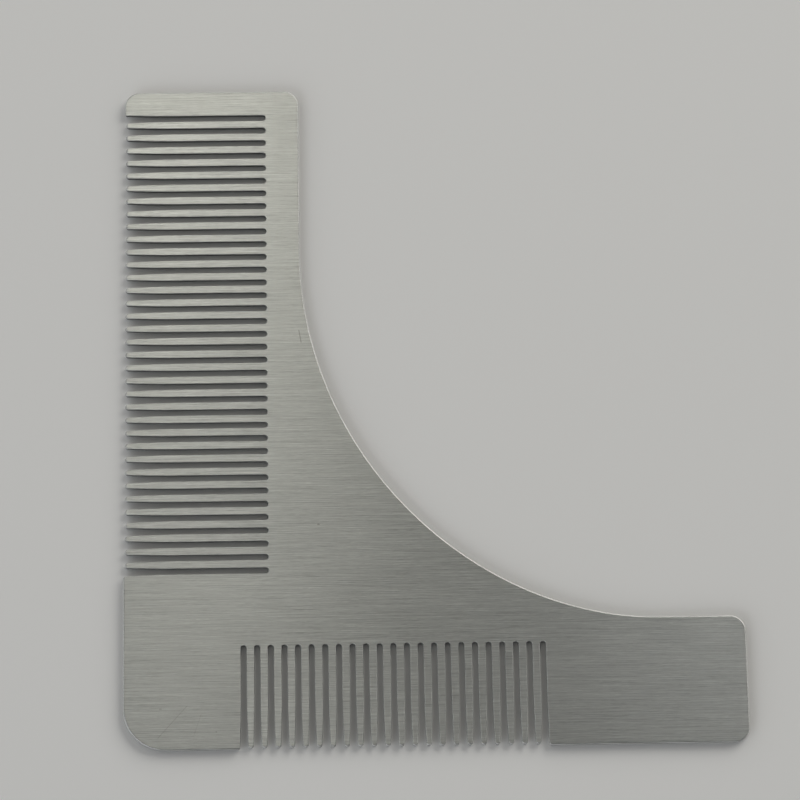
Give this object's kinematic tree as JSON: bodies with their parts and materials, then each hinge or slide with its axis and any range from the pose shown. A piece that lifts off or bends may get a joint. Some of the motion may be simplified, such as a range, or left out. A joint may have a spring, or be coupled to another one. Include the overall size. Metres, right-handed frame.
{
  "type": "beard shaping comb",
  "caption": "Flat L-shaped steel beard comb: long teeth along its arm, short teeth along its base, and a concave jaw-line edge between arm and handle.",
  "frame": {"origin": "centre of the bounding box, on the back face that the comb lies on", "axes": "+X along the handle, away from the long teeth; +Y along the upright arm, away from the short teeth; +Z out of the front face"},
  "size_m": [0.1146, 0.1258, 0.001],
  "materials": {
    "steel": "satin stainless steel, fine straight grain along the handle on the whole plate, lightly rounded edges"
  },
  "bodies": {
    "root": {"comb_back": "steel", "long_teeth": "steel", "short_teeth": "steel"}
  },
  "joints": []
}
